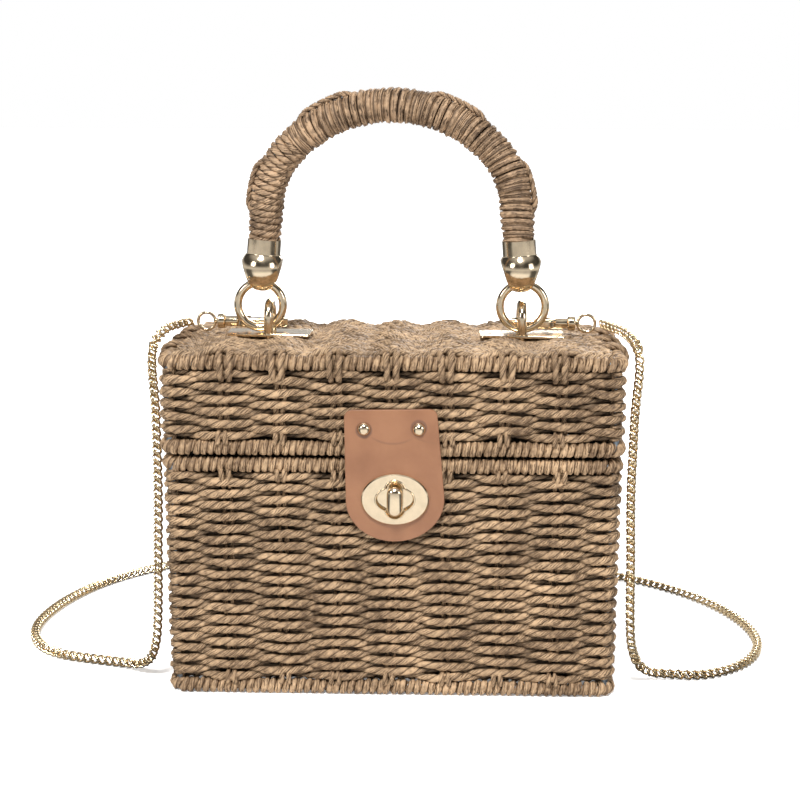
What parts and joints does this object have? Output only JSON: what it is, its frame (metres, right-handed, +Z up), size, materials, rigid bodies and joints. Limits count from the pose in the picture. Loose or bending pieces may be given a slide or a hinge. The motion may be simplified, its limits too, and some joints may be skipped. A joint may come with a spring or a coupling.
{
  "type": "basket box bag",
  "caption": "Box-shaped woven paper rope basket bag with hinged lid, arched rope handle on rings, leather tab with turn lock and a clipped-on chain strap.",
  "frame": {"origin": "bottom centre of the bag without its chain, on the surface it stands on", "axes": "+Z up, +X to the bag's right as seen from the front, front with the lock towards -Y"},
  "size_m": [0.3587, 0.2276, 0.2672],
  "materials": {
    "paper_rope": "twisted paper rope, matte",
    "coated_wire": "grey coated wire",
    "lining_cloth": "plain woven cotton",
    "tan_leather": "smooth matte grain with painted edge",
    "rope_core": "braided cotton core",
    "plain_steel": "plain",
    "pale_gold": "polished pale gold plating"
  },
  "bodies": {
    "basket": {"body_weave": "paper_rope", "body_frame": "coated_wire", "body_top_rim": "paper_rope", "body_bottom_rim": "paper_rope", "body_lining": "lining_cloth", "hinge_tie_left": "paper_rope", "hinge_tie_middle": "paper_rope", "hinge_tie_right": "paper_rope", "lock_base": "pale_gold", "lock_washer": "plain_steel", "lock_spring": "plain_steel", "chain_main": "pale_gold"},
    "lid": {"lid_weave": "paper_rope", "lid_frame": "coated_wire", "lid_top_rim": "paper_rope", "lid_bottom_rim": "paper_rope", "lid_lining": "lining_cloth", "plate_left": "pale_gold", "plate_right": "pale_gold", "staple_left": "pale_gold", "staple_right": "pale_gold", "backing_left": "plain_steel", "backing_right": "plain_steel", "leather_tab": "tan_leather", "tab_rivet_left": "pale_gold", "tab_rivet_right": "pale_gold", "rivet_washer_left": "plain_steel", "rivet_washer_right": "plain_steel", "clasp_body_left": "pale_gold", "clasp_body_right": "pale_gold", "clasp_pin_left": "plain_steel", "clasp_pin_right": "plain_steel", "chain_left_top": "pale_gold", "chain_right_top": "pale_gold"},
    "tab_end": {"eyelet_front": "pale_gold", "eyelet_back": "pale_gold"},
    "knob": {"knob": "pale_gold"},
    "ring_left": {"o_ring_left": "pale_gold"},
    "ring_right": {"o_ring_right": "pale_gold"},
    "handle": {"handle_core": "rope_core", "handle_wrap": "paper_rope", "handle_strand": "paper_rope", "cap_left": "pale_gold", "cap_right": "pale_gold"},
    "gate_left": {"clasp_gate_left": "pale_gold"},
    "gate_right": {"clasp_gate_right": "pale_gold"},
    "swivel_left": {"clasp_swivel_left": "pale_gold"},
    "swivel_right": {"clasp_swivel_right": "pale_gold"}
  },
  "joints": [
    {"name": "lid_open", "type": "hinge", "parent": "basket", "child": "lid", "pos_m": [0, 0.056, 0.1075], "axis": [-1, 0, 0], "range_deg": [0, 105], "deforming": ["hinge_tie_left", "hinge_tie_middle", "hinge_tie_right", "chain_left_top", "chain_right_top", "chain_main"]},
    {"name": "tab_flex", "type": "hinge", "parent": "lid", "child": "tab_end", "pos_m": [0, -0.0507, 0.112], "axis": [-1, 0, 0], "range_deg": [0, 50], "deforming": ["leather_tab"]},
    {"name": "knob_turn", "type": "hinge", "parent": "basket", "child": "knob", "pos_m": [0.0016, -0.04885, 0.0903], "axis": [0, -1, 0], "range_deg": [0, 90]},
    {"name": "ring_left_swing", "type": "hinge", "parent": "lid", "child": "ring_left", "pos_m": [-0.0613, 0.00145, 0.15685], "axis": [1, 0, 0], "range_deg": [0, 55]},
    {"name": "ring_right_swing", "type": "hinge", "parent": "lid", "child": "ring_right", "pos_m": [0.0575, 0.00145, 0.15685], "axis": [1, 0, 0], "range_deg": [0, 55]},
    {"name": "handle_swing", "type": "hinge", "parent": "ring_left", "child": "handle", "pos_m": [-0.0601, 0.00145, 0.17735], "axis": [1, 0, 0], "range_deg": [-20, 20]},
    {"name": "gate_left_press", "type": "hinge", "parent": "lid", "child": "gate_left", "pos_m": [-0.0701, 0.01378, 0.1585], "axis": [0, 0, -1], "range_deg": [0, 25], "stiffness_Nm_per_rad": 0.01, "springref_deg": -11.46},
    {"name": "gate_right_press", "type": "hinge", "parent": "lid", "child": "gate_right", "pos_m": [0.0701, 0.01378, 0.1585], "axis": [0, 0, 1], "range_deg": [0, 25], "stiffness_Nm_per_rad": 0.01, "springref_deg": -11.46},
    {"name": "swivel_left_turn", "type": "hinge", "parent": "lid", "child": "swivel_left", "pos_m": [-0.0872, 0.0094, 0.1585], "axis": [1, 0, 0], "continuous": true},
    {"name": "swivel_right_turn", "type": "hinge", "parent": "lid", "child": "swivel_right", "pos_m": [0.0872, 0.0094, 0.1585], "axis": [1, 0, 0], "continuous": true}
  ],
  "couplings": [
    {"joint": "ring_right_swing", "follows": "ring_left_swing", "ratio": 1}
  ]
}
